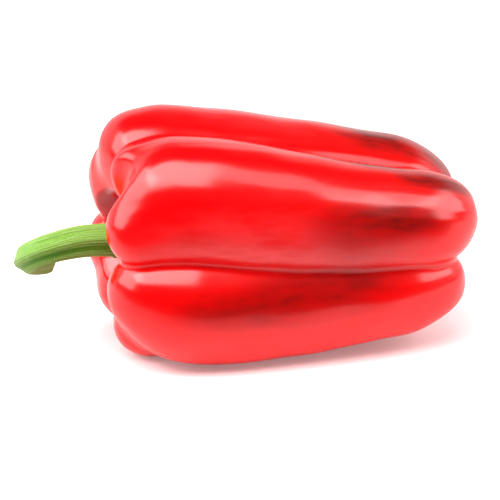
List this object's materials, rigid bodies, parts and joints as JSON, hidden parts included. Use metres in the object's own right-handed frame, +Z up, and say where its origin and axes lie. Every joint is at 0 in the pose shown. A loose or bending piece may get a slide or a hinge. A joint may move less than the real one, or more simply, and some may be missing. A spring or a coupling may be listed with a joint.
{
  "type": "bell pepper",
  "caption": "Large glossy bell pepper lying on its side, with lengthwise lobes, a deep stalk hollow and a short ridged green stalk that hooks at its cut end.",
  "frame": {"origin": "middle of the bounding box's underside, on the surface that the pepper lies on", "axes": "+X along the fruit from the stalk to the blossom end, +Z up, -Y towards the front"},
  "size_m": [0.1538, 0.0772, 0.0803],
  "materials": {
    "pepper_skin": "taut, waxy, glossy red skin",
    "stalk_green": "satin green stalk with fine lengthwise fibres"
  },
  "bodies": {
    "root": {"pepper_fruit": "pepper_skin", "pepper_stem": "stalk_green"}
  },
  "joints": []
}
